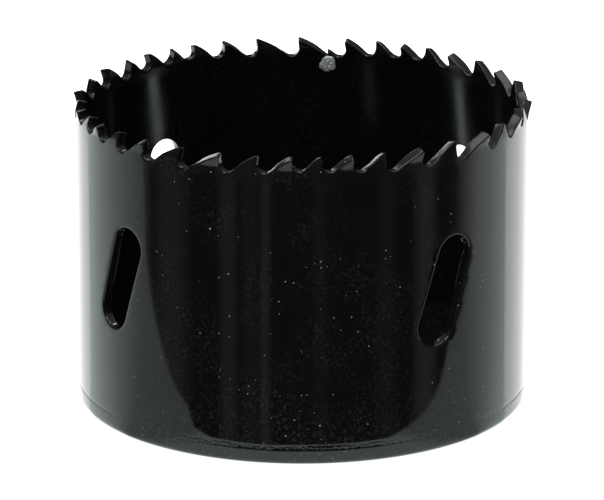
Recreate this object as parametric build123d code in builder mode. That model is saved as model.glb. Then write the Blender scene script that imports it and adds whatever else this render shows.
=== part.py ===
"""Hole saw: a rolled, slotted shell with variable-pitch set teeth, seated on a threaded base plate.

Millimetres and degrees. The origin is at the centre of the base plate's underside, +Z runs
up the saw's axis to the teeth, and angles run anticlockwise from +X, seen from the teeth.
"""

import os
from itertools import cycle
from math import atan, cos, degrees, pi, radians, sin, tan

from build123d import *

# ---------- driving dimensions ----------

# the cup
CUT_DIAMETER = 65.0          # hole that the outward-set tips cut
OVERALL_HEIGHT = 44.0        # underside of the base plate to the tooth tips
WALL = 1.4                   # thickness of the strip that the shell is rolled from
WELD_ANGLE = 45.0            # where the two ends of the strip meet, midway between two slots

# the teeth; a distance along the strip is measured from the weld, at the middle of the wall
FIRST_TIP = 4.45             # weld to the first tooth tip
TOOTH_PITCHES = (6.2, 5.2, 4.7, 3.95, 4.25, 4.65, 5.4, 5.9)   # one group; the strip repeats it
LAST_TIP_MARGIN = 2.2        # least distance left between the last tip and the weld
GULLET_DEPTH = 2.7           # deepest gullet, under the tips
GULLET_SHARE = 0.49          # depth of a gullet on a short pitch, as a share of that pitch
GULLET_RADIUS = 1.1
RAKE = 6.0                   # forward lean of the cutting face
BACK_SLOPE = 37.0            # tooth back where it leaves the gullet
TIP_SLOPE = 22.0             # tooth back at the tip
TOOTH_SET = 0.45             # how far a tip is bent out of the wall
SET_DEPTH = 1.7              # height over which a tooth is bent

# the slots for prising out the plug
SLOT_COUNT = 4
SLOT_WIDTH = 5.6
SLOT_LENGTH = 15.8           # end to end
SLOT_HEIGHT = 23.1           # centre of a slot above the underside
SLOT_LEAN = 18.5             # top end leans the way the teeth point
SLOT_EDGE_BREAK = 0.35       # chamfer round the outer edge

# the base plate
PLATE_THICKNESS = 6.0
FLANGE_THICKNESS = 2.6       # part of the plate that is as wide as the shell
FLANGE_EDGE_RADIUS = 1.0
SPIGOT_CLEARANCE = 0.05      # radial, between the plate and the shell
SPIGOT_CHAMFER = 0.5
SEAM_CHAMFER = 0.15          # on both sides of the joint between plate and shell
THREAD_MAJOR = 15.875        # 5/8-18 UNF
THREAD_TAP_DRILL = 14.5
THREAD_LEAD_IN = 0.2         # countersink beyond the thread's major diameter, radial
PIN_COUNT = 4
PIN_CIRCLE = 25.4
PIN_HOLE = 6.8
PIN_CHAMFER = 0.3            # on the underside, where the pins enter

# ---------- sizes that follow ----------

body_radius = CUT_DIAMETER / 2 - TOOTH_SET
inner_radius = body_radius - WALL
middle_radius = body_radius - WALL / 2
strip_length = 2 * pi * middle_radius
bend_height = OVERALL_HEIGHT - SET_DEPTH
set_lean = degrees(atan(TOOTH_SET / SET_DEPTH))
tip_level = SET_DEPTH / cos(radians(set_lean))      # above the bend, along a bent tooth
above_tips = 1.0                                    # how far blanks and cutters pass the tips
blank_root = WALL / 2                               # how far a tooth blank reaches below the bend
cutter_depth = 2 * WALL
thread_countersink = (THREAD_MAJOR - THREAD_TAP_DRILL) / 2 + THREAD_LEAD_IN
on_wall = WALL / 10                                 # an edge this near a wall face lies on it


def strip_angle(distance):
    """Angle of a point on the strip, from its distance to the weld."""
    return WELD_ANGLE + degrees(distance / middle_radius)


def radial(angle):
    return Vector(1, 0, 0).rotate(Axis.Z, angle)


def tangent(angle):
    return Vector(0, 1, 0).rotate(Axis.Z, angle)


def tip_distances():
    """Distances of the tooth tips from the weld, along the strip."""
    tips = [FIRST_TIP]
    for pitch in cycle(TOOTH_PITCHES):
        if tips[-1] + pitch > strip_length - LAST_TIP_MARGIN:
            return tips
        tips.append(tips[-1] + pitch)


def tooth_lean(index):
    """Teeth are set alternately, inward first; positive leans outward."""
    return set_lean if index % 2 else -set_lean


def wall_plane(distance, lean, height):
    """Plane across the wall: x along the strip, y up, tilted with the lean of a tooth."""
    angle = strip_angle(distance)
    outward = radial(angle) * cos(radians(lean)) - Vector(0, 0, sin(radians(lean)))
    origin = radial(angle) * middle_radius + Vector(0, 0, height)
    return Plane(origin=origin, x_dir=tangent(angle), z_dir=outward)


def gullet_centre(tip_x, depth):
    """Centre of the gullet's arc, which touches the cutting face under the tip at tip_x."""
    y = GULLET_RADIUS - depth
    return tip_x + y * tan(radians(RAKE)) + GULLET_RADIUS / cos(radians(RAKE)), tip_level + y


def tooth_back(start, end, end_slope):
    """Curve from the gullet's arc up to a tip, or to the strip's end at the weld."""
    run = (end[0] - start[0]) / 3
    lower = (start[0] + run, start[1] + run * tan(radians(BACK_SLOPE)))
    upper = (end[0] - run, end[1] - run * tan(radians(end_slope)))
    Bezier(start, lower, upper, end)


def gullet_arc(tip_x, depth):
    """Cutting face and rounded gullet bottom; returns where they begin and end."""
    x, y = gullet_centre(tip_x, depth)
    rake = radians(RAKE)
    slope = radians(BACK_SLOPE)
    top = (tip_x + above_tips * tan(rake), tip_level + above_tips)
    face_end = (x - GULLET_RADIUS * cos(rake), y + GULLET_RADIUS * sin(rake))
    back_start = (x + GULLET_RADIUS * sin(slope), y - GULLET_RADIUS * cos(slope))
    Line(top, face_end)
    ThreePointArc(face_end, (x, y - GULLET_RADIUS), back_start)
    return top, back_start


def over_the_tip(tip_x, top):
    """Close the outline above the next tooth's tip."""
    beyond = tip_x + above_tips
    rise = above_tips * tan(radians(TIP_SLOPE))
    Polyline((tip_x, tip_level), (beyond, tip_level + rise), (beyond, top[1]), top)


def gullet(plane, pitch):
    """Space between two teeth, drawn about the middle of the pitch."""
    depth = min(GULLET_DEPTH, GULLET_SHARE * pitch)
    with BuildSketch(plane) as outline:
        with BuildLine():
            top, back_start = gullet_arc(-pitch / 2, depth)
            tooth_back(back_start, (pitch / 2, tip_level), TIP_SLOPE)
            over_the_tip(pitch / 2, top)
        make_face()
    return outline.sketch.face()


def weld_gullet(plane, pitch, weld_x):
    """Space across the weld, where the cut-off tooth at the strip's end leaves a small step."""
    step_top = (weld_x, 0)
    step_foot = (weld_x, tip_level - GULLET_DEPTH)
    with BuildSketch(plane) as outline:
        with BuildLine():
            top, back_start = gullet_arc(-pitch / 2, GULLET_DEPTH)
            tooth_back(back_start, step_top, BACK_SLOPE)
            Line(step_top, step_foot)
            tooth_back(step_foot, (pitch / 2, tip_level), TIP_SLOPE)
            over_the_tip(pitch / 2, top)
        make_face()
    return outline.sketch.face()


def bent_blank(start, end, lean):
    """Stretch of wall for one tooth, straight below the bend and leaning above it."""
    angle = strip_angle(start)
    top = OVERALL_HEIGHT + above_tips / 2
    shift = (top - bend_height) * tan(radians(lean))
    root = bend_height - blank_root
    upright = Plane(origin=(0, 0, 0), x_dir=radial(angle), z_dir=-tangent(angle))
    with BuildSketch(upright) as section:
        with BuildLine():
            Polyline(
                (inner_radius, root),
                (body_radius, root),
                (body_radius, bend_height),
                (body_radius + shift, top),
                (inner_radius + shift, top),
                (inner_radius, bend_height),
                close=True,
            )
        make_face()
    arc = degrees((end - start) / middle_radius)
    return revolve(section.sketch, axis=Axis.Z, revolution_arc=arc, mode=Mode.PRIVATE)


def slot(distance):
    with BuildSketch(wall_plane(distance, 0, SLOT_HEIGHT)) as outline:
        SlotOverall(SLOT_LENGTH, SLOT_WIDTH, rotation=90 - SLOT_LEAN)
    return outline.sketch.face()


def cut_through_wall(outlines):
    extrude(outlines, amount=cutter_depth, both=True, mode=Mode.SUBTRACT)


def tooth_blanks(tips):
    """Bent blanks that meet inside the gullets; the first one starts at the weld."""
    starts = [0] + [tip + GULLET_RADIUS for tip in tips]
    blanks = []
    for index, (start, end) in enumerate(zip(starts, starts[1:])):
        blanks.append(bent_blank(start, end, tooth_lean(index)))
    return blanks


def gullets(tips):
    outlines = []
    for index, (behind, ahead) in enumerate(zip(tips, tips[1:]), start=1):
        plane = wall_plane((behind + ahead) / 2, tooth_lean(index), bend_height)
        outlines.append(gullet(plane, ahead - behind))
    pitch = strip_length - tips[-1] + tips[0]
    plane = wall_plane(tips[0] - pitch / 2, tooth_lean(0), bend_height)
    outlines.append(weld_gullet(plane, pitch, pitch / 2 - tips[0]))
    return outlines


def on_outer_wall(edge):
    """Slot edges on the outside: part way up the wall and at its outer radius."""
    middle = edge.center(CenterOf.BOUNDING_BOX)
    part_way_up = abs(middle.Z - SLOT_HEIGHT) < SLOT_LENGTH / 2
    ends = [Vector(v.X, v.Y, 0).length for v in edge.vertices()]
    return part_way_up and all(abs(r - body_radius) < on_wall for r in ends)


def smallest_circles(builder):
    return builder.edges().filter_by(GeomType.CIRCLE).group_by(SortBy.RADIUS)[0]


def widest_circle(builder, height):
    """Largest circular edge at a height."""
    return builder.edges().filter_by_position(Axis.Z, height, height).sort_by(SortBy.RADIUS)[-1]


# ---------- toothed shell ----------

tips = tip_distances()
slot_spacing = strip_length / SLOT_COUNT

with BuildPart() as toothed_shell:
    with BuildSketch(Plane.XY.offset(FLANGE_THICKNESS)):
        Circle(body_radius)
        Circle(inner_radius, mode=Mode.SUBTRACT)
    extrude(amount=bend_height - FLANGE_THICKNESS)
    chamfer(widest_circle(toothed_shell, FLANGE_THICKNESS), SEAM_CHAMFER)

    cut_through_wall([slot((index + 0.5) * slot_spacing) for index in range(SLOT_COUNT)])
    chamfer(toothed_shell.edges().filter_by(on_outer_wall), SLOT_EDGE_BREAK)

    add(tooth_blanks(tips))
    cut_through_wall(gullets(tips))

toothed_shell.part.label = "toothed_shell"

# ---------- base plate ----------

with BuildPart() as base_plate:
    with BuildSketch():
        Circle(body_radius)
    extrude(amount=FLANGE_THICKNESS)
    with BuildSketch(Plane.XY.offset(FLANGE_THICKNESS)):
        Circle(inner_radius - SPIGOT_CLEARANCE)
    extrude(amount=PLATE_THICKNESS - FLANGE_THICKNESS)

    Hole(THREAD_TAP_DRILL / 2)
    chamfer(smallest_circles(base_plate), thread_countersink)
    with PolarLocations(PIN_CIRCLE / 2, PIN_COUNT, start_angle=180 / PIN_COUNT):
        Hole(PIN_HOLE / 2)
    chamfer(smallest_circles(base_plate).group_by(Axis.Z)[0], PIN_CHAMFER)

    fillet(widest_circle(base_plate, 0), FLANGE_EDGE_RADIUS)
    chamfer(widest_circle(base_plate, FLANGE_THICKNESS), SEAM_CHAMFER)
    chamfer(widest_circle(base_plate, PLATE_THICKNESS), SPIGOT_CHAMFER)

base_plate.part.label = "base_plate"

# ---------- files ----------

os.makedirs("parts", exist_ok=True)
export_step(toothed_shell.part, "parts/toothed_shell.step")
export_step(base_plate.part, "parts/base_plate.step")
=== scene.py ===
"""Looks of the hole saw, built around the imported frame.

Metres. The origin is at the centre of the base plate's underside and +Z runs up to the teeth.
Angles run anticlockwise from +X, seen from the teeth. "Along" is a distance along the strip that
the shell is rolled from, at the middle of its wall, measured from the weld, and a "height" on the
strip is measured from where the teeth start to bend.
"""

import math
from itertools import cycle

import bmesh
import bpy
import numpy as np
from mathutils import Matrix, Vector, kdtree, noise
from mathutils.geometry import delaunay_2d_cdt


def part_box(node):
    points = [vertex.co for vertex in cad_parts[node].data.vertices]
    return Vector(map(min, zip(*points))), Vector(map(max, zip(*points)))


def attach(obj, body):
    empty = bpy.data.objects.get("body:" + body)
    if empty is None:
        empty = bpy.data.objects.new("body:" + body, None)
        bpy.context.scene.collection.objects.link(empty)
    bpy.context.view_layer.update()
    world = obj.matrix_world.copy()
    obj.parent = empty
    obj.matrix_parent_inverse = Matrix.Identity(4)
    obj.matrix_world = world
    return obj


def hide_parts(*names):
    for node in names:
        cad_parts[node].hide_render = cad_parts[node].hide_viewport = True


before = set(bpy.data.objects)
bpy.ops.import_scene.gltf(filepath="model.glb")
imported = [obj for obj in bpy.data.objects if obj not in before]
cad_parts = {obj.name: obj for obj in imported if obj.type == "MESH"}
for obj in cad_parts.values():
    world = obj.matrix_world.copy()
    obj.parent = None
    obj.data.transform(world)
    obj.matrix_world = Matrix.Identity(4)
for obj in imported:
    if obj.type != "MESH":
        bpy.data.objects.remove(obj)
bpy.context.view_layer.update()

MM = 0.001

# ---------- sizes of the saw, as in the part's source ----------

WALL = 1.4 * MM
WELD_ANGLE = math.radians(45)
FIRST_TIP = 4.45 * MM
TOOTH_PITCHES = [p * MM for p in (6.2, 5.2, 4.7, 3.95, 4.25, 4.65, 5.4, 5.9)]
LAST_TIP_MARGIN = 2.2 * MM
GULLET_DEPTH = 2.7 * MM
GULLET_SHARE = 0.49
GULLET_RADIUS = 1.1 * MM
RAKE = math.radians(6)
BACK_SLOPE = math.radians(37)
TIP_SLOPE = math.radians(22)
TOOTH_SET = 0.45 * MM
SET_DEPTH = 1.7 * MM
SLOT_COUNT = 4
SLOT_WIDTH = 5.6 * MM
SLOT_LENGTH = 15.8 * MM
SLOT_HEIGHT = 23.1 * MM
SLOT_LEAN = math.radians(18.5)
OVERALL_HEIGHT = 44 * MM
SPIGOT_CLEARANCE = 0.05 * MM
FLANGE_EDGE_RADIUS = 1.0 * MM
SPIGOT_CHAMFER = 0.5 * MM
THREAD_MAJOR = 15.875 * MM
THREAD_MINOR = 14.5 * MM
THREAD_PITCH = 25.4 / 18 * MM
THREAD_FLAT = 0.125
THREAD_LEAD_IN = 0.2 * MM
PIN_COUNT = 4
PIN_CIRCLE = 25.4 * MM
PIN_HOLE = 6.8 * MM
PIN_EDGE = 0.3 * MM

# ---------- edges and unevenness of the paint ----------

# rounded edges, and the stretch over which the teeth's bend is rounded
TOOTH_EDGE = 0.17 * MM
TIP_ROUND = 0.23 * MM
SLOT_EDGE = 0.26 * MM
INNER_SLOT_EDGE = 0.15 * MM
SEAM_EDGE = 0.11 * MM
SET_BLEND = 0.35 * MM

# ripple of the wall: a broad one, a narrow one as shares of it, and lumps near the foot
RIPPLE = 0.021 * MM
RIPPLE_ROUND = 7 * MM
RIPPLE_UP = 26 * MM
NARROW_RIPPLE = 0.4
NARROW_ROUND, NARROW_UP = 0.37, 0.8
NARROW_SEED = (9, 4)
FOOT_LUMPS = 0.55
FOOT_LUMP = 1.7 * MM
FOOT_LUMPS_REACH = 5 * MM

# bead of paint in the joint: its section, its lumps and crumbs, its gaps and how it sways
BEAD_HALF = 0.38 * MM
BEAD_PROUD = 0.028 * MM
BEAD_ROOT = 0.4 * MM
BEAD_LUMP = 0.55 * MM
BEAD_CRUMB = BEAD_LUMP * 0.4
BEAD_CRUMBS = 0.5
BEAD_EVEN, BEAD_UNEVEN = 0.2, 0.8
BEAD_FILL = 1.15
BEAD_GAPS = 1.8
BEAD_GAP_RATE = 1.6
BEAD_GAP_SEED = Vector((3.7, 1.2, 0))
BEAD_SWAY = 0.25 * BEAD_HALF
BEAD_SWAY_RATE = 9
BEAD_SWAY_SEED = 2

# spot of bare weld: distance along the strip and height on it, then its form
WELD_SPOT = (-0.1 * MM, -2.1 * MM)
WELD_SPOT_WIDTH = 2.6 * MM
WELD_SPOT_HEIGHT = 2.3 * MM
WELD_SPOT_THICKNESS = 0.28 * MM
WELD_SPOT_RAGGED = 0.42
WELD_SPOT_RATE = 1.3
WELD_SPOT_SEED = 5
WELD_SPOT_LUMP = 0.32 * MM
WELD_SPOT_LUMPS = 0.75

# ---------- how finely surfaces are divided ----------

# outlines, and the wall's grid of triangles, which is closer above a height on the strip
FINE = 0.2 * MM
COARSE = 0.8 * MM
TOOTH_GRID = 0.42 * MM
FINE_ABOVE = -2.4 * MM
ROW_SPACING = math.sqrt(0.75)
EDGE_STEPS = 4
EDGE_CLEAR = 0.97
GRID_CLEAR = 0.35
SAME_POINT = 1e-9
SIDE_ROWS = 3

# the plate, with support points beside the edges of its flat faces, the bead and the weld
FOOT_STEPS = 6
CORNER_STEPS = 3
PLATE_TURNS = 256
BORE_TURNS = 128
PIN_TURNS = 64
THREAD_ROWS = 14
FACE_GRID = 2.4 * MM
SUPPORT = 0.12 * MM
BEAD_TURNS = 2400
BEAD_ROWS = 10
WELD_SPOT_RINGS = 12
WELD_SPOT_TURNS = 48
SHARP = math.radians(50)
MERGE = 0.0005 * MM

# ---------- looks ----------

# colours of the paint and the dust on it, and the heights where dust and rough paint begin and are full
PAINT_IOR = 1.52
PAINT = (0.0042, 0.0043, 0.0043, 1)
DUST_FILM = (0.03, 0.033, 0.032, 1)
SPECK = (0.42, 0.45, 0.44, 1)
DUSTY_FOOT = (11 * MM, 1 * MM)
ROUGH_TEETH = (40.2 * MM, 41.2 * MM)

# the paint's noises, each with its scale and detail first, and what they do
PEEL, PEEL_STRENGTH, PEEL_DEPTH = (650, 2), 0.35, 0.006 * MM
GRAIN, GRAIN_STRENGTH, GRAIN_DEPTH = (3800, 3), (0.02, 0.5), 0.02 * MM
SMEARS, GLOSS = (90, 4), (0.06, 0.12)
DRIFTS, DRIFT_DENSITY = (55, 2), (0.05, 0.55)
CLOUDS = (150, 3)
FINE_DUST = (2300, 3)
ROUGHER_TEETH, ROUGHER_INSIDE, ROUGH_SPECK = 0.07, 0.045, 0.7
FILM_IN_CLOUDS, FILM_AT_FOOT = 0.5, 0.6
SPECK_SCALE, SPECK_SIZES, SPECK_STRENGTHS = 1350, (0.05, 0.14), (0.15, 1)
SPECKS_AT_FOOT, SPECKS_LESS_INSIDE = 0.2, 0.55

BARE_WELD, WELD_METALLIC, WELD_ROUGHNESS = (0.62, 0.66, 0.64, 1), 0.35, 0.38
PITS, PIT_STRENGTH, PIT_DEPTH = (2600, 4), 0.6, 0.08 * MM

# ---------- the studio; its places are given with the camera's side as -Y ----------

CAMERA_AZIMUTH = math.radians(-128.0)
CAMERA_ELEVATION = math.radians(17.3)
CAMERA_DISTANCE = 705 * MM
FOCAL_PIXELS = 4955
PHOTO_WIDTH = 604
PHOTO_HEIGHT = 500
AIM_X, AIM_Y = 302.1, 243.7
SENSOR_WIDTH = 36
CLIP_NEAR, CLIP_FAR = 0.01, 20
FRONT_TURN = CAMERA_AZIMUTH + math.pi / 2

FLOOR_REACH = 3.0
FLOOR_OPENING = 31.15 * MM
OPENING_STEP = 2 * MM
# lines that divide the floor, as the photo's reflections show them
LEFT_CORNER = (-30 * MM, -11 * MM)
RIGHT_CORNER = (29 * MM, -14 * MM)
LEFT_STEP, RIGHT_STEP = 138, 126
DARK_EDGE = [(x * MM, y * MM) for x, y in (
    (-110, -31), (-60, -37), (-34, -38.4), (-25, -35.2), (-12, -36.8),
    (0, -39), (35, -34.5), (66, -33), (91, -19), (123, -7))]
FAR_LEFT = (-FLOOR_REACH, -31 * MM)
FAR_RIGHT = (FLOOR_REACH, 750 * MM)
# how bright the floor glows: what the camera sees, what the gloss sees beside the saw, and behind it; the
# brighter glow beside and behind the saw is painted light for the gloss
SEEN_RADIANCE = 1.02
BESIDE_RADIANCE = (0.62, 1.62)
BESIDE_BEARINGS = (math.radians(-5), math.radians(48))
BESIDE_ORIGIN = (24 * MM, -20 * MM)
# the glowing strip at the saw's foot is a painted reflection in the bottom of the wall
FOOT_RADIANCE = 0.5
FOOT_STRIP = (25 * MM, 19 * MM)
# floor_behind glows about twice as bright as floor_before: painted light from behind, seen in the saw's
# gloss
BEHIND_RADIANCE = 2.15
CARD_RADIANCE = 2.2
CARD_DISTANCE = FLOOR_REACH * 0.97
TABLE_TINT = (0.985, 1, 0.995, 1)
BESIDE_TINT = (0.88, 1, 0.965, 1)

# upright cards: name, left and right bearing, lowest and highest elevation, in degrees from the saw
CARDS = (("backdrop", -22, -11, 0, 21), ("bounce_card", -33, -24, 24.5, 38))

# dim strips of the dark room before the saw: bearing and half width in degrees, and level
STRIPS = ((-70, 7, 0.13), (-37.6, 3, 0.14), (-26.5, 3, 0.07), (-18.5, 2, 0.18),
          (9, 2.5, 0.055), (43, 4, 0.06), (65, 4.5, 0.2))
STRIP_TOP, STRIP_FOOT = 0.6, 1.8
BETWEEN_STRIPS = 0.01
ROOM_LEFT = ((-100, 1), (-82, 0.04))
ROOM_RIGHT = ((84, 0.04), (102, 1))

# the world by its direction's height: where the room ends, the ceiling's levels, and white beneath
HORIZON = 0.03
CEILING = ((0.25, 0.05), (0.5, 0.16), (0.8, 0.35), (1, 0.6))
WHITE_BENEATH = (-0.45, -0.6)

# lamps: name, place, size and power
LAMPS = (("top", (0, 0.1, 0.7), 0.4, 0.6),
         ("front", (-0.1, -0.35, 0.6), 0.25, 1.5),
         ("side", (0.121, 0.423, 0.544), 0.086, 0.16))
LAMP_TARGET = Vector((0, 0, 20 * MM))

# ---------- values that follow ----------

shell_low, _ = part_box("toothed_shell")
plate_low, plate_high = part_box("base_plate")
body_radius = plate_high.x
seam_height = shell_low.z
plate_top = plate_high.z
middle_radius = body_radius - WALL / 2
inner_radius = body_radius - WALL
strip_length = 2 * math.pi * middle_radius
slot_spacing = strip_length / SLOT_COUNT
slot_centres = [(k + 0.5) * slot_spacing for k in range(SLOT_COUNT)]
bend_height = OVERALL_HEIGHT - SET_DEPTH
set_lean = math.atan(TOOTH_SET / SET_DEPTH)
tip_level = SET_DEPTH / math.cos(set_lean)
seam_level = seam_height - bend_height


# ---------- meshes and curves ----------

def mesh_object(name, points, faces, smooth=True):
    """New object with one mesh, linked to the scene."""
    mesh = bpy.data.meshes.new(name)
    mesh.from_pydata([tuple(p) for p in points], [], faces)
    mesh.validate()
    piece = bpy.data.objects.new(name, mesh)
    bpy.context.scene.collection.objects.link(piece)
    if smooth:
        mesh.polygons.foreach_set("use_smooth", [True] * len(mesh.polygons))
    return piece


def clean(piece):
    """Merges double points, makes the faces point outwards and keeps sharp corners crisp."""
    work = bmesh.new()
    work.from_mesh(piece.data)
    bmesh.ops.remove_doubles(work, verts=work.verts, dist=MERGE)
    bmesh.ops.recalc_face_normals(work, faces=work.faces)
    work.to_mesh(piece.data)
    work.free()
    piece.data.set_sharp_from_angle(angle=SHARP)


def on_circle(radius, angle, centre=(0, 0)):
    """Point of a circle in a plane."""
    return centre[0] + radius * math.cos(angle), centre[1] + radius * math.sin(angle)


def segment(start, end, step):
    """Points along a straight run, without its end."""
    start, end = np.array(start), np.array(end)
    count = max(1, math.ceil(np.linalg.norm(end - start) / step))
    return [tuple(start + (end - start) * k / count) for k in range(count)]


def arc(centre, radius, start, end, step):
    """Points along an arc, without its end."""
    count = max(3, math.ceil(abs(end - start) * radius / step))
    return [on_circle(radius, start + (end - start) * k / count, centre) for k in range(count)]


def bezier(controls, step):
    """Points along a cubic curve with four control points, without its end."""
    count = max(3, math.ceil(math.dist(controls[0], controls[3]) / step))
    points = []
    for k in range(count):
        t = k / count
        weights = ((1 - t) ** 3, 3 * t * (1 - t) ** 2, 3 * t * t * (1 - t), t ** 3)
        points.append(tuple(sum(w * p[i] for w, p in zip(weights, controls)) for i in (0, 1)))
    return points


# ---------- outlines of the strip: distance along it, and height over the bend ----------

def tip_distances():
    """The group of pitches, repeated until the strip is full."""
    places = [FIRST_TIP]
    for pitch in cycle(TOOTH_PITCHES):
        if places[-1] + pitch > strip_length - LAST_TIP_MARGIN:
            return places
        places.append(places[-1] + pitch)


tips = tip_distances()
gullet_middles = [tip + GULLET_RADIUS for tip in tips]


def rounded_tip(tip):
    """Paint-rounded tip; returns where the back meets it, its points, and where the face leaves it."""
    half_corner = (math.pi / 2 - RAKE - TIP_SLOPE) / 2
    reach = TIP_ROUND / math.tan(half_corner)
    inward = math.pi + TIP_SLOPE + half_corner
    centre = on_circle(TIP_ROUND / math.sin(half_corner), inward, (tip, tip_level))
    on_back = (tip - reach * math.cos(TIP_SLOPE), tip_level - reach * math.sin(TIP_SLOPE))
    on_face = (tip - reach * math.sin(RAKE), tip_level - reach * math.cos(RAKE))
    return on_back, arc(centre, TIP_ROUND, math.pi / 2 + TIP_SLOPE, -RAKE, FINE / 3), on_face


def face_and_gullet(tip, depth):
    """Tip, cutting face and rounded gullet; returns the points and where the next back starts."""
    rise = GULLET_RADIUS - depth
    centre = (tip + rise * math.tan(RAKE) + GULLET_RADIUS / math.cos(RAKE), tip_level + rise)
    face_end = (centre[0] - GULLET_RADIUS * math.cos(RAKE), centre[1] + GULLET_RADIUS * math.sin(RAKE))
    back_angle = BACK_SLOPE - math.pi / 2
    _, points, on_face = rounded_tip(tip)
    points += segment(on_face, face_end, FINE)
    points += arc(centre, GULLET_RADIUS, math.pi - RAKE, 2 * math.pi + back_angle, FINE)
    return points, on_circle(GULLET_RADIUS, back_angle, centre)


def tooth_back(start, end, end_slope):
    """Curved back of a tooth, steep at its foot and flatter at its tip."""
    run = (end[0] - start[0]) / 3
    lower = (start[0] + run, start[1] + run * math.tan(BACK_SLOPE))
    upper = (end[0] - run, end[1] - run * math.tan(end_slope))
    return bezier((start, lower, upper, end), FINE)


def tooth_line():
    """The toothed edge, once round from the weld, with the step where the strip's ends meet."""
    foot = (0, tip_level - GULLET_DEPTH)
    points = tooth_back(foot, rounded_tip(tips[0])[0], TIP_SLOPE)
    for tip, ahead in zip(tips, tips[1:]):
        gullet, back_start = face_and_gullet(tip, min(GULLET_DEPTH, GULLET_SHARE * (ahead - tip)))
        points += gullet + tooth_back(back_start, rounded_tip(ahead)[0], TIP_SLOPE)
    gullet, back_start = face_and_gullet(tips[-1], GULLET_DEPTH)
    step_top = (strip_length, 0)
    points += gullet + tooth_back(back_start, step_top, BACK_SLOPE)
    return points + segment(step_top, (strip_length, foot[1]), FINE)


def slot_line(centre):
    """One slot, leaning the way the teeth point."""
    half = (SLOT_LENGTH - SLOT_WIDTH) / 2
    radius = SLOT_WIDTH / 2
    points = arc((0, half), radius, 0, math.pi, FINE)
    points += segment((-radius, half), (-radius, -half), FINE)
    points += arc((0, -half), radius, math.pi, 2 * math.pi, FINE)
    points += segment((radius, -half), (radius, half), FINE)
    c, s = math.cos(SLOT_LEAN), math.sin(SLOT_LEAN)
    height = SLOT_HEIGHT - bend_height
    return [(centre + x * c + y * s, height - x * s + y * c) for x, y in points]


def seam_line():
    """The strip's lower edge, where it stands on the plate's flange."""
    return segment((0, seam_level), (strip_length, seam_level), FINE * 2)


# ---------- the wall as a flat sheet: triangles, and how far each point lies from an edge ----------

def to_disc(along, height):
    """Rolls the strip out as a ring in a plane that keeps angles, so that it needs no cut."""
    return on_circle(np.exp(height / middle_radius), along / middle_radius)


def inward_normals(loop, sign):
    """Normals of a closed outline towards the metal; the strip's own ends meet at the weld."""
    points = np.array(loop)
    ahead = np.roll(points, -1, 0) - points
    behind = points - np.roll(points, 1, 0)
    for step in (ahead, behind):
        step[:, 0] = (step[:, 0] + strip_length / 2) % strip_length - strip_length / 2
    ahead /= np.linalg.norm(ahead, axis=1)[:, None]
    behind /= np.linalg.norm(behind, axis=1)[:, None]
    tangent = ahead + behind
    tangent /= np.linalg.norm(tangent, axis=1)[:, None]
    return sign * np.stack([tangent[:, 1], -tangent[:, 0]], -1)


def edge_finder(loops):
    """Search tree of places along every outline, and the normal into the metal at each."""
    samples = []
    for loop, sign, _ in loops:
        for start, end, normal in zip(loop, loop[1:] + loop[:1], inward_normals(loop, sign)):
            if abs(start[0] - end[0]) < strip_length / 2:
                samples += [(x, y, normal) for x, y in segment(start, end, FINE / 4)]
    tree = kdtree.KDTree(3 * len(samples))
    for lap in (-1, 0, 1):
        for index, (x, y, _) in enumerate(samples):
            tree.insert((x + lap * strip_length, y, 0), index)
    tree.balance()
    return tree, [normal for _, _, normal in samples]


def edge_points(loops, tree):
    """Rows of points beside every outline, closest together where the rounded edge is steepest."""
    for loop, sign, size in loops:
        normals = inward_normals(loop, sign)
        for k in range(1, EDGE_STEPS + 1):
            depth = size * (1 - math.cos(math.pi / 2 * k / EDGE_STEPS))
            for (x, y), (nx, ny) in zip(loop, normals):
                spot = (x + nx * depth, y + ny * depth, 0)
                if tree.find(spot)[2] > depth * EDGE_CLEAR:
                    yield spot[:2], (depth, size)


def grid_points(tree, normals):
    """Points spread evenly over the metal between its edges, closer together among the teeth."""
    for step, start, end, edge in ((COARSE, seam_level, FINE_ABOVE, SEAM_EDGE),
                                   (TOOTH_GRID, FINE_ABOVE + TOOTH_GRID, tip_level, TOOTH_EDGE)):
        columns = round(strip_length / step)
        for row in range(int((end - start) / (step * ROW_SPACING)) + 1):
            height = start + row * step * ROW_SPACING
            for column in range(columns):
                along = (column + row % 2 / 2) * strip_length / columns
                nearest, index, reach = tree.find((along, height, 0))
                across, up = normals[index]
                if (along - nearest.x) * across + (height - nearest.y) * up < 0:
                    continue
                near_slot = min(abs(along - centre) for centre in slot_centres) < SLOT_LENGTH
                size = SLOT_EDGE if near_slot and step == COARSE else edge
                if reach > size + GRID_CLEAR * step:
                    yield (along, height), (size, size)


def wall_sheet():
    """The strip as triangles; returns points, each one's depth in from an edge, triangles and outlines."""
    loops = [(tooth_line(), 1, TOOTH_EDGE), (seam_line(), -1, SEAM_EDGE)]
    loops += [(slot_line(centre), 1, SLOT_EDGE) for centre in slot_centres]
    points, depths, edges, owner = [], [], [], []
    for index, (loop, _, size) in enumerate(loops):
        first = len(points)
        points += loop
        depths += [(0, size)] * len(loop)
        edges += [(first + k, first + (k + 1) % len(loop)) for k in range(len(loop))]
        owner += [index] * len(loop)

    tree, normals = edge_finder(loops)
    for found in (edge_points(loops, tree), grid_points(tree, normals)):
        for point, depth in found:
            points.append(point)
            depths.append(depth)
            owner.append(-len(points))

    flat = [Vector(to_disc(*p)) for p in points]
    placed, _, triangles, _, _, _ = delaunay_2d_cdt(flat, edges, [], 1, SAME_POINT)
    if len(placed) != len(points):
        raise RuntimeError(f"the sheet has {len(placed)} points, not {len(points)}")
    metal = [t for t in triangles if not (owner[t[0]] == owner[t[1]] == owner[t[2]] and owner[t[0]] > 0)]
    return points, depths, metal, loops


# ---------- the toothed shell ----------

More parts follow.
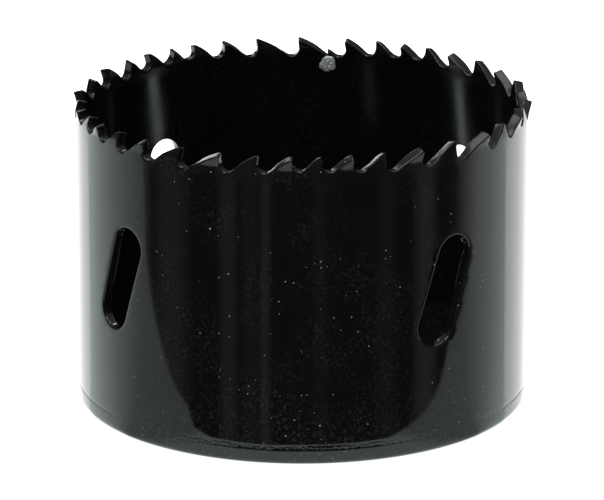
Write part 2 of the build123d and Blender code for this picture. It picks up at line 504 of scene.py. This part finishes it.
def edge_drop(depth, size):
    """How far a rounded edge has fallen below the surface, at a depth in from the outline."""
    inside = max(size - depth, 0)
    return size - math.sqrt(max(size * size - inside * inside, 0))


def inner_edge(size):
    """Rounding of an edge on the inside of the wall; the slots' edges are sharper there."""
    return INNER_SLOT_EDGE if size == SLOT_EDGE else size


def set_direction(along):
    """Which way the strip is bent here: out 1, in -1, and between the two across a gullet."""
    for k, middle in enumerate(gullet_middles):
        reach = (along - middle) / (GULLET_RADIUS / 2)
        if abs(reach) < 1:
            before = 1 if k % 2 else -1
            return -before * math.sin(reach * math.pi / 2) if k < len(tips) - 1 else before
    passed = sum(along > middle for middle in gullet_middles)
    return 1 if passed % 2 else -1


def wall_ripple(angle, z):
    """Gentle unevenness of rolled strip under paint, longer up the wall than round it."""
    spot = Vector((math.cos(angle), math.sin(angle), 0)) * body_radius
    broad = noise.noise(spot / RIPPLE_ROUND + Vector((0, 0, z / RIPPLE_UP)))
    narrow_up = Vector((*NARROW_SEED, z / RIPPLE_UP * NARROW_UP))
    narrow = noise.noise(spot / (RIPPLE_ROUND * NARROW_ROUND) + narrow_up)
    low = max(1 - (z - seam_height) / FOOT_LUMPS_REACH, 0)
    lumps = noise.noise(Vector((*on_circle(body_radius, angle), z)) / FOOT_LUMP)
    return broad + NARROW_RIPPLE * narrow + FOOT_LUMPS * low * lumps


def wall_point(along, height, offset):
    """Place of a point of the wall; offset is its distance from the middle of the wall, outwards."""
    run = max(height + SET_BLEND, 0)
    side = set_direction(along) if run else 0
    if run < 2 * SET_BLEND:
        bent = set_lean * run * run / (4 * SET_BLEND)
    else:
        bent = set_lean * SET_BLEND + (run - 2 * SET_BLEND) * math.sin(set_lean)
    lean = set_lean * min(run / (2 * SET_BLEND), 1) * side
    shortened = max(height - SET_BLEND, 0) * (1 - math.cos(set_lean))
    angle = WELD_ANGLE + along / middle_radius
    z = bend_height + height - shortened - offset * math.sin(lean)
    radius = middle_radius + side * bent + offset * math.cos(lean) + RIPPLE * wall_ripple(angle, z)
    return *on_circle(radius, angle), z


def build_shell():
    """The wall: an outer and an inner skin, joined along every outline by narrow sides."""
    flat, depths, triangles, loops = wall_sheet()
    count = len(flat)
    outer, inner = [], []
    for (along, height), (depth, size) in zip(flat, depths):
        inner_size = inner_edge(size)
        inner_drop = edge_drop(min(depth, inner_size), inner_size)
        outer.append(wall_point(along, height, WALL / 2 - edge_drop(depth, size)))
        inner.append(wall_point(along, height, -WALL / 2 + inner_drop))
    places = outer + inner
    faces = [tuple(t) for t in triangles] + [(c + count, b + count, a + count) for a, b, c in triangles]
    first = 0
    for loop, sign, size in loops:
        rows = [range(first, first + len(loop))]
        for k in range(1, SIDE_ROWS):
            share = k / SIDE_ROWS
            offset = (WALL / 2 - size) * (1 - share) - (WALL / 2 - inner_edge(size)) * share
            rows.append(range(len(places), len(places) + len(loop)))
            places += [wall_point(along, height, offset) for along, height in loop]
        rows.append(range(first + count, first + count + len(loop)))
        for upper, lower in zip(rows, rows[1:]):
            for k in range(len(loop)):
                n = (k + 1) % len(loop)
                quad = (upper[k], lower[k], lower[n], upper[n])
                faces.append(quad if sign > 0 else quad[::-1])
        first += len(loop)
    piece = mesh_object("painted_shell", places, faces)
    clean(piece)
    return piece


# ---------- the base plate ----------

def ring(radius, z, count, centre=(0, 0)):
    """Level ring of points."""
    return [(*on_circle(radius, 2 * math.pi * k / count, centre), z) for k in range(count)]


class Builder:
    """Collects rings and faces of one closed mesh."""

    def __init__(self):
        self.points = []
        self.faces = []

    def bridge(self, rows):
        """Joins rings of equally many points, one after the other."""
        first = len(self.points)
        size = len(rows[0])
        for row in rows:
            self.points += row
        for k in range(len(rows) - 1):
            for j in range(size):
                n = (j + 1) % size
                a, b = first + k * size, first + (k + 1) * size
                self.faces.append((a + j, a + n, b + n, b + j))

    def face_with_holes(self, outline, holes):
        """Flat face, divided evenly so that its shading stays clean."""
        z = outline[0][2]
        flat, edges, owner = [], [], []
        for index, loop in enumerate([outline] + holes):
            first = len(flat)
            flat += [Vector(p[:2]) for p in loop]
            edges += [(first + k, first + (k + 1) % len(loop)) for k in range(len(loop))]
            owner += [index] * len(loop)
        centres = [Vector(np.mean([p[:2] for p in hole], axis=0)) for hole in holes]
        radii = [math.dist(hole[0][:2], np.mean(hole, axis=0)[:2]) for hole in holes]
        reach = max(p[0] for p in outline)
        count = int(reach / FACE_GRID)
        for i in range(-count, count + 1):
            for j in range(-count, count + 1):
                spot = Vector((i * FACE_GRID, j * FACE_GRID))
                clear = spot.length < reach - FACE_GRID / 2
                if clear and all((spot - c).length > r + FACE_GRID / 2 for c, r in zip(centres, radii)):
                    flat.append(spot)
                    owner.append(-len(flat))
        placed, _, triangles, _, _, _ = delaunay_2d_cdt(flat, edges, [], 1, SAME_POINT)
        first = len(self.points)
        self.points += [(p.x, p.y, z) for p in placed]
        for t in triangles:
            if not (owner[t[0]] == owner[t[1]] == owner[t[2]] and owner[t[0]] > 0):
                self.faces.append(tuple(first + k for k in t))


def with_support(profile, inward):
    """A profile of (radius, height) with one more point beside each end, so that flat faces shade flat."""
    (low_radius, low), (high_radius, high) = profile[0], profile[-1]
    return [(low_radius + inward, low)] + profile + [(high_radius + inward, high)]


def plate_profile():
    """Outside of the plate: rounded foot, flange, edge of the paint at the joint, and spigot."""
    spigot_radius = inner_radius - SPIGOT_CLEARANCE
    flange = seam_height - SEAM_EDGE - FLANGE_EDGE_RADIUS
    profile = []
    for k in range(FOOT_STEPS + 1):
        a = math.pi / 2 * k / FOOT_STEPS
        profile.append((body_radius - FLANGE_EDGE_RADIUS * (1 - math.sin(a)),
                        plate_low.z + FLANGE_EDGE_RADIUS * (1 - math.cos(a))))
    for k in range(1, CORNER_STEPS + 1):
        profile.append((body_radius, FLANGE_EDGE_RADIUS + flange * k / CORNER_STEPS))
    for k in range(1, CORNER_STEPS + 1):
        a = math.pi / 2 * k / CORNER_STEPS
        profile.append((body_radius - SEAM_EDGE * (1 - math.cos(a)),
                        seam_height - SEAM_EDGE * (1 - math.sin(a))))
    return profile + [(spigot_radius, seam_height), (spigot_radius, plate_top - SPIGOT_CHAMFER),
                      (spigot_radius - SPIGOT_CHAMFER, plate_top)]


def thread_radius(angle, z):
    """Radius of the tapped bore: a right-hand V thread with flat crests, opened by a countersink."""
    phase = (z / THREAD_PITCH - angle / (2 * math.pi)) % 1
    flank = (1 + 2 * THREAD_FLAT) * (1 - 2 * abs(phase - 0.5)) - THREAD_FLAT
    thread = (THREAD_MINOR + (THREAD_MAJOR - THREAD_MINOR) * min(max(flank, 0), 1)) / 2
    from_face = min(z - plate_low.z, plate_top - z)
    return max(thread, THREAD_MAJOR / 2 + THREAD_LEAD_IN - from_face)


def bore_rings():
    """The threaded bore from the underside up, with a support ring round each mouth."""
    rows = round(plate_top / (THREAD_PITCH / THREAD_ROWS))
    angles = [2 * math.pi * j / BORE_TURNS for j in range(BORE_TURNS)]
    mouth = THREAD_MAJOR / 2 + THREAD_LEAD_IN + SUPPORT
    rings = [ring(mouth, plate_low.z, BORE_TURNS)]
    for k in range(rows + 1):
        z = plate_low.z + (plate_top - plate_low.z) * k / rows
        rings.append([(*on_circle(thread_radius(a, z), a), z) for a in angles])
    return rings + [ring(mouth, plate_top, BORE_TURNS)]


def pin_rings(centre):
    """One drive-pin hole from the underside up, its edges broken, with support rings."""
    radius = PIN_HOLE / 2
    profile = [(radius + PIN_EDGE, plate_low.z), (radius + PIN_EDGE / 3, plate_low.z + PIN_EDGE / 3),
               (radius, plate_low.z + PIN_EDGE), (radius, plate_top - PIN_EDGE),
               (radius + PIN_EDGE / 3, plate_top - PIN_EDGE / 3), (radius + PIN_EDGE, plate_top)]
    return [ring(r, z, PIN_TURNS, centre) for r, z in with_support(profile, SUPPORT)]


def build_plate():
    """The base plate, with its thread and its holes."""
    plate = Builder()
    outside = [ring(radius, z, PLATE_TURNS) for radius, z in with_support(plate_profile(), -SUPPORT)]
    pins = [on_circle(PIN_CIRCLE / 2, 2 * math.pi * (k + 0.5) / PIN_COUNT) for k in range(PIN_COUNT)]
    holes = [bore_rings()] + [pin_rings(centre) for centre in pins]
    for rows in [outside] + holes:
        plate.bridge(rows)
    plate.face_with_holes(outside[0], [rows[0] for rows in holes])
    plate.face_with_holes(outside[-1], [rows[-1] for rows in holes])
    piece = mesh_object("painted_plate", plate.points, plate.faces)
    clean(piece)
    return piece


# ---------- the weld spot and the paint at the foot ----------

def build_weld_spot():
    """Lump of bare weld on the inside of the wall, just under the step where the strip's ends meet."""
    middle_along, middle_height = WELD_SPOT
    turns = WELD_SPOT_TURNS
    points = [wall_point(middle_along, middle_height, -WALL / 2 - WELD_SPOT_THICKNESS)]
    for k in range(1, WELD_SPOT_RINGS + 1):
        share = k / WELD_SPOT_RINGS
        for j in range(turns):
            angle = 2 * math.pi * j / turns
            bulge = noise.noise(Vector((*on_circle(WELD_SPOT_RATE, angle), WELD_SPOT_SEED)))
            ragged = 1 + WELD_SPOT_RAGGED * bulge
            along = WELD_SPOT_WIDTH / 2 * share * ragged * math.cos(angle)
            height = WELD_SPOT_HEIGHT / 2 * share * ragged * math.sin(angle)
            lump = noise.noise(Vector((along, height, 0)) / WELD_SPOT_LUMP)
            rise = WELD_SPOT_THICKNESS * (1 - share ** 2) ** 0.5 * (1 + WELD_SPOT_LUMPS * lump)
            points.append(wall_point(middle_along + along, middle_height + height, -WALL / 2 - rise))
    faces = []
    for j in range(turns):
        n = (j + 1) % turns
        faces.append((0, 1 + j, 1 + n))
        for k in range(WELD_SPOT_RINGS - 1):
            a, b = 1 + k * turns, 1 + (k + 1) * turns
            faces.append((a + j, b + j, b + n, a + n))
    last = 1 + (WELD_SPOT_RINGS - 1) * turns
    faces.append(tuple(range(last, last + turns)))
    piece = mesh_object("weld_spot", points, faces)
    clean(piece)
    return piece


def bead_fill(angle):
    """How far paint has filled the joint here, from nothing in a few places to all of it."""
    spot = Vector((math.cos(angle), math.sin(angle), 0))
    return min(max(BEAD_FILL + BEAD_GAPS * noise.noise(spot * BEAD_GAP_RATE + BEAD_GAP_SEED), 0), 1)


def bead_row(angle):
    """Section of the bead: its lumpy face from below the joint to above it, and its buried root."""
    fill = bead_fill(angle)
    row = [(body_radius - BEAD_ROOT, -BEAD_HALF)]
    for j in range(BEAD_ROWS + 1):
        across = 2 * j / BEAD_ROWS - 1
        spot = Vector((*on_circle(body_radius, angle), across * BEAD_HALF))
        lump = noise.noise(spot / BEAD_LUMP) + BEAD_CRUMBS * noise.noise(spot / BEAD_CRUMB)
        shape = 1 - across ** 4
        reach = -SEAM_EDGE + (SEAM_EDGE + BEAD_PROUD * (BEAD_EVEN + BEAD_UNEVEN * lump)) * fill
        proud = min(reach * shape - BEAD_PROUD * (1 - shape), BEAD_PROUD)
        row.append((body_radius + proud, across * BEAD_HALF))
    row.append((body_radius - BEAD_ROOT, BEAD_HALF))
    sway = BEAD_SWAY * noise.noise(Vector((*on_circle(BEAD_SWAY_RATE, angle), BEAD_SWAY_SEED)))
    return [(*on_circle(radius, angle), seam_height + z + sway) for radius, z in row]


def build_bead():
    """Ragged bead of paint in the joint between the wall and the base plate."""
    rows = [bead_row(2 * math.pi * k / BEAD_TURNS) for k in range(BEAD_TURNS)]
    size = len(rows[0])
    faces = []
    for k in range(BEAD_TURNS):
        a, b = k * size, (k + 1) % BEAD_TURNS * size
        faces += [(a + j, b + j, b + (j + 1) % size, a + (j + 1) % size) for j in range(size)]
    piece = mesh_object("foot_bead", [p for row in rows for p in row], faces)
    clean(piece)
    return piece


# ---------- materials ----------

class Nodes:
    """Short ways to add nodes to one node tree; inputs are values or other nodes' outputs."""

    def __init__(self, tree):
        self.tree = tree

    def link(self, value, socket):
        """Sets a socket, or links it."""
        if isinstance(value, bpy.types.NodeSocket):
            self.tree.links.new(value, socket)
        else:
            socket.default_value = value

    def add(self, kind, output, *inputs, **settings):
        """Adds a node with its settings and pairs of a socket and its value; returns one output."""
        node = self.tree.nodes.new("ShaderNode" + kind)
        for name, value in settings.items():
            setattr(node, name, value)
        for socket, value in inputs:
            self.link(value, node.inputs[socket])
        return node.outputs[output]

    def place(self, space="Object"):
        """Coordinates on the object, or with "Generated" the directions of the world."""
        return self.add("TexCoord", space)

    def split(self, vector):
        """The three parts of a vector."""
        return self.add("SeparateXYZ", "X", ("Vector", vector)).node.outputs

    def noise(self, place, scale, detail):
        """Grey noise."""
        return self.add("TexNoise", "Fac", ("Vector", place), ("Scale", scale), ("Detail", detail))

    def maths(self, operation, first, second=0):
        """One sum or comparison of numbers."""
        return self.add("Math", "Value", (0, first), (1, second), operation=operation)

    def spread(self, value, old, new=(0, 1), **settings):
        """Maps a range of values onto another one."""
        return self.add("MapRange", "Result", ("Value", value), ("From Min", old[0]), ("From Max", old[1]),
                        ("To Min", new[0]), ("To Max", new[1]), **settings)

    def mix(self, factor, first, second):
        """Blends two colours."""
        return self.add("Mix", "Result", ("Factor", factor), ("A", first), ("B", second), data_type="RGBA")

    def bump(self, height, strength, distance, *inputs):
        """Fine relief; a further input may be a normal to build on."""
        return self.add("Bump", "Normal", ("Height", height), ("Strength", strength),
                        ("Distance", distance), *inputs)

    def ramp(self, value, stops):
        """A grey level for each value, between stops of (value, level)."""
        colour = self.add("ValToRGB", "Color", ("Fac", value))
        elements = colour.node.color_ramp.elements
        while len(elements) < len(stops):
            elements.new(0.5)
        for element, (position, level) in zip(elements, stops):
            element.position = position
            element.color = (level, level, level, 1)
        return colour


def new_material(name, settings):
    """Material with values for its shader's sockets; returns it, its nodes and its shader."""
    material = bpy.data.materials.new(name)
    material.use_nodes = True
    shader = material.node_tree.nodes["Principled BSDF"]
    for socket, value in settings.items():
        shader.inputs[socket].default_value = value
    return material, Nodes(material.node_tree), shader


def painted_black():
    """Dipped gloss black: faint orange peel, a mottled film of dust, fine specks and rough teeth."""
    material, nodes, shader = new_material("gloss_black_paint", {"IOR": PAINT_IOR})
    place = nodes.place()
    height = nodes.split(place)["Z"]
    level = nodes.add("VectorMath", "Vector", (0, place), (1, (1, 1, 0)), operation="MULTIPLY")
    radius = nodes.add("VectorMath", "Value", (0, level), operation="LENGTH")
    inside = nodes.spread(radius, (middle_radius, inner_radius))
    near_foot = nodes.spread(height, DUSTY_FOOT)
    near_teeth = nodes.spread(height, ROUGH_TEETH)

    peel = nodes.bump(nodes.noise(place, *PEEL), PEEL_STRENGTH, PEEL_DEPTH)
    grit = nodes.spread(near_teeth, (0, 1), GRAIN_STRENGTH)
    grain = nodes.bump(nodes.noise(place, *GRAIN), grit, GRAIN_DEPTH, ("Normal", peel))
    nodes.link(grain, shader.inputs["Normal"])

    speck = dust_specks(nodes, place, inside, near_foot)
    film = dust_film(nodes, place, near_foot)
    colour = nodes.mix(speck, nodes.mix(film, PAINT, DUST_FILM), SPECK)
    nodes.link(colour, shader.inputs["Base Color"])

    rough = nodes.spread(nodes.noise(place, *SMEARS), (0.35, 0.7), GLOSS)
    rough = nodes.maths("ADD", rough, nodes.maths("MULTIPLY", near_teeth, ROUGHER_TEETH))
    rough = nodes.maths("ADD", rough, nodes.maths("MULTIPLY", inside, ROUGHER_INSIDE))
    rough = nodes.maths("MAXIMUM", rough, nodes.maths("MULTIPLY", speck, ROUGH_SPECK))
    nodes.link(rough, shader.inputs["Roughness"])
    return material


def dust_specks(nodes, place, inside, near_foot):
    """Specks of many sizes and strengths, in drifts, thicker at the foot and hardly any inside."""
    nearest = nodes.add("TexVoronoi", "Distance", ("Vector", place), ("Scale", SPECK_SCALE))
    lot = nodes.add("SeparateColor", "Red", ("Color", nearest.node.outputs["Color"])).node.outputs
    drift = nodes.spread(nodes.noise(place, *DRIFTS), (0.42, 0.7), DRIFT_DENSITY)
    density = nodes.maths("ADD", drift, nodes.maths("MULTIPLY", near_foot, SPECKS_AT_FOOT))
    density = nodes.maths("SUBTRACT", density, nodes.maths("MULTIPLY", inside, SPECKS_LESS_INSIDE))
    size = nodes.spread(lot["Green"], (0, 1), SPECK_SIZES)
    shape = nodes.maths("LESS_THAN", nearest, size)
    present = nodes.maths("LESS_THAN", lot["Red"], density)
    strength = nodes.spread(lot["Blue"], (0, 1), SPECK_STRENGTHS)
    return nodes.maths("MULTIPLY", nodes.maths("MULTIPLY", shape, present), strength)


def dust_film(nodes, place, near_foot):
    """A faint film of fine dust in clouds, thicker at the foot."""
    cloud = nodes.spread(nodes.noise(place, *CLOUDS), (0.4, 0.7))
    fine = nodes.spread(nodes.noise(place, *FINE_DUST), (0.5, 0.7))
    in_clouds = nodes.maths("MULTIPLY", cloud, FILM_IN_CLOUDS)
    at_foot = nodes.maths("MULTIPLY", near_foot, FILM_AT_FOOT)
    return nodes.maths("MULTIPLY", fine, nodes.maths("ADD", in_clouds, at_foot))


def bare_weld():
    """Rough grey metal of a weld that the paint left bare."""
    material, nodes, shader = new_material(
        "bare_weld", {"Metallic": WELD_METALLIC, "Base Color": BARE_WELD, "Roughness": WELD_ROUGHNESS})
    pits = nodes.noise(nodes.place(), *PITS)
    nodes.link(nodes.bump(pits, PIT_STRENGTH, PIT_DEPTH), shader.inputs["Normal"])
    return material


def light_table(name, radiance, tint):
    """White sheet lit from beneath, so that the saw throws no shadow on it.

    With two radiances the sheet grows brighter from the camera's side towards the back, and it has
    a brighter strip right before the saw's foot; this uneven glow is painted light, seen only in the saw's
    gloss.
    """
    material, nodes, shader = new_material(
        name, {"Base Color": (0, 0, 0, 1), "Specular IOR Level": 0, "Emission Color": tint})
    strength = shader.inputs["Emission Strength"]
    if isinstance(radiance, tuple):
        parts = nodes.split(nodes.place())
        sideways = nodes.maths("ABSOLUTE", parts["X"])
        across = nodes.maths("SUBTRACT", sideways, BESIDE_ORIGIN[0])
        behind = nodes.maths("SUBTRACT", parts["Y"], BESIDE_ORIGIN[1])
        ramp = nodes.spread(nodes.maths("ARCTAN2", behind, across), BESIDE_BEARINGS, radiance)
        foot = nodes.spread(sideways, FOOT_STRIP, (0, FOOT_RADIANCE))
        nodes.link(nodes.maths("ADD", ramp, foot), strength)
    else:
        strength.default_value = radiance
    return material


# ---------- the studio ----------

def seen_from_front(x, y, z):
    """A place given with the camera's side as -Y, turned into the part's frame."""
    c, s = math.cos(FRONT_TURN), math.sin(FRONT_TURN)
    return Vector((x * c - y * s, x * s + y * c, z))


def along_ray(start, bearing):
    """A far point of the floor; the bearing is in degrees from the camera's side, right positive."""
    turn = math.radians(bearing)
    return start[0] + FLOOR_REACH * math.sin(turn), start[1] - FLOOR_REACH * math.cos(turn)


def add_sheet(name, outline, radiance, tint):
    """Flat glowing sheet of the studio, its outline given with the camera's side as -Y."""
    sheet = mesh_object(name, outline, [tuple(range(len(outline)))], smooth=False)
    sheet.rotation_euler.z = FRONT_TURN
    sheet.data.materials.append(light_table(name, radiance, tint))
    return sheet


def add_card(name, left, right, low, high):
    """Upright white card far behind the saw, its sides given as angles seen from the saw."""
    left, right = (CARD_DISTANCE * math.tan(math.radians(a)) for a in (left, right))
    far = math.hypot(CARD_DISTANCE, (left + right) / 2)
    low, high = (far * math.tan(math.radians(a)) for a in (low, high))
    corners = ((left, low), (right, low), (right, high), (left, high))
    add_sheet(name, [(x, CARD_DISTANCE, z) for x, z in corners], CARD_RADIANCE, TABLE_TINT)


def add_floor():
    """White floor, open under the base plate, so that the underside can be looked at.

    floor_before is what the camera sees before and beside the saw, and floor_beside is what the
    gloss sees beside it; before DARK_EDGE the gloss sees the dark room. floor_behind is seen by both.
    """
    left_turn = math.atan2(LEFT_CORNER[1], LEFT_CORNER[0]) + 2 * math.pi
    right_turn = math.atan2(RIGHT_CORNER[1], RIGHT_CORNER[0])
    opening_back = arc((0, 0), FLOOR_OPENING, left_turn, right_turn, OPENING_STEP)
    opening_front = arc((0, 0), FLOOR_OPENING, right_turn, left_turn - 2 * math.pi, OPENING_STEP)
    back_left, back_right = along_ray(LEFT_CORNER, -LEFT_STEP), along_ray(RIGHT_CORNER, RIGHT_STEP)
    round_saw = [FAR_RIGHT, back_right, RIGHT_CORNER] + opening_front
    round_saw += [opening_back[0], LEFT_CORNER, back_left]
    near_side = [(-FLOOR_REACH, -FLOOR_REACH), (FLOOR_REACH, -FLOOR_REACH)]

    def add_part(name, outline, radiance, tint):
        """One sheet that lies on the floor's level."""
        return add_sheet(name, [(x, y, 0) for x, y in outline], radiance, tint)

    before = add_part("floor_before", near_side + round_saw + [FAR_LEFT], SEEN_RADIANCE, TABLE_TINT)
    before.visible_glossy = False
    # floor_beside glows unevenly and is seen only in reflections: painted light on the saw's gloss
    beside = add_part("floor_beside", [FAR_LEFT] + DARK_EDGE + round_saw, BESIDE_RADIANCE, BESIDE_TINT)
    beside.visible_camera = False
    beside.visible_diffuse = False
    behind = [back_left, LEFT_CORNER] + opening_back + [opening_front[0], RIGHT_CORNER, back_right]
    # the stronger glow of floor_behind is painted light from behind the saw
    add_part("floor_behind", behind, BEHIND_RADIANCE, TABLE_TINT)


def add_lamp(name, place, size, power):
    """Round soft lamp that points at the saw."""
    light = bpy.data.lights.new(name, "AREA")
    light.shape = "DISK"
    light.size = size
    light.energy = power
    lamp = bpy.data.objects.new(name, light)
    bpy.context.scene.collection.objects.link(lamp)
    lamp.location = seen_from_front(*place)
    lamp.rotation_euler = (LAMP_TARGET - lamp.location).to_track_quat("-Z", "Y").to_euler()


def room_stops():
    """Levels round the horizon: dark on the camera's side but for the dim strips, white behind."""
    stops = list(ROOM_LEFT)
    for centre, half, level in STRIPS:
        stops += [(centre - STRIP_FOOT * half, BETWEEN_STRIPS), (centre - STRIP_TOP * half, level),
                  (centre + STRIP_TOP * half, level), (centre + STRIP_FOOT * half, BETWEEN_STRIPS)]
    stops += ROOM_RIGHT
    return [(0.5 + bearing / 360, level) for bearing, level in stops]


def add_world():
    """A pale room with a grey ceiling, dark on the camera's side but for a few dim strips."""
    world = bpy.data.worlds.new("studio")
    bpy.context.scene.world = world
    world.use_nodes = True
    nodes = Nodes(world.node_tree)
    turned = nodes.add("VectorRotate", "Vector", ("Vector", nodes.place("Generated")),
                       ("Angle", -CAMERA_AZIMUTH), rotation_type="Z_AXIS")
    parts = nodes.split(turned)
    bearing = nodes.spread(nodes.maths("ARCTAN2", parts["Y"], parts["X"]), (-math.pi, math.pi))
    above = nodes.spread(parts["Z"], (-HORIZON, HORIZON), interpolation_type="SMOOTHSTEP")
    beneath = nodes.spread(parts["Z"], WHITE_BENEATH, interpolation_type="SMOOTHSTEP")
    room = nodes.mix(above, nodes.ramp(bearing, room_stops()), nodes.ramp(parts["Z"], CEILING))
    room = nodes.mix(beneath, room, (1, 1, 1, 1))
    nodes.link(room, world.node_tree.nodes["Background"].inputs["Color"])


def add_camera():
    """The photo's camera: how it stands was fitted to the rim, the slots and the foot."""
    camera = bpy.data.cameras.new("camera")
    camera.sensor_width = SENSOR_WIDTH
    camera.lens = FOCAL_PIXELS * SENSOR_WIDTH / PHOTO_WIDTH
    camera.clip_start = CLIP_NEAR
    camera.clip_end = CLIP_FAR
    eye = bpy.data.objects.new("camera", camera)
    bpy.context.scene.collection.objects.link(eye)
    middle = Vector((0, 0, OVERALL_HEIGHT / 2))
    back = Vector((*on_circle(math.cos(CAMERA_ELEVATION), CAMERA_AZIMUTH), math.sin(CAMERA_ELEVATION)))
    up = Vector((0, 0, 1)) - back * back.z
    up.normalize()
    right = up.cross(back)
    pixel = CAMERA_DISTANCE / FOCAL_PIXELS
    aim = middle - up * (PHOTO_HEIGHT / 2 - AIM_Y) * pixel - right * (AIM_X - PHOTO_WIDTH / 2) * pixel
    eye.location = middle + back * CAMERA_DISTANCE
    eye.rotation_euler = (aim - eye.location).to_track_quat("-Z", "Y").to_euler()
    bpy.context.scene.camera = eye


# ---------- assembly ----------

paint = painted_black()
shell = build_shell()
plate = build_plate()
for piece, node in ((shell, "toothed_shell"), (plate, "base_plate")):
    piece.data.materials.append(paint)
    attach(piece, "root")
    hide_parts(node)

bead = build_bead()
bead.data.materials.append(paint)
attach(bead, "root")
weld_spot = build_weld_spot()
weld_spot.data.materials.append(bare_weld())
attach(weld_spot, "root")

add_floor()
for card in CARDS:
    add_card(*card)
add_world()
for lamp in LAMPS:
    add_lamp(*lamp)
add_camera()
bpy.context.scene.view_settings.view_transform = "Standard"
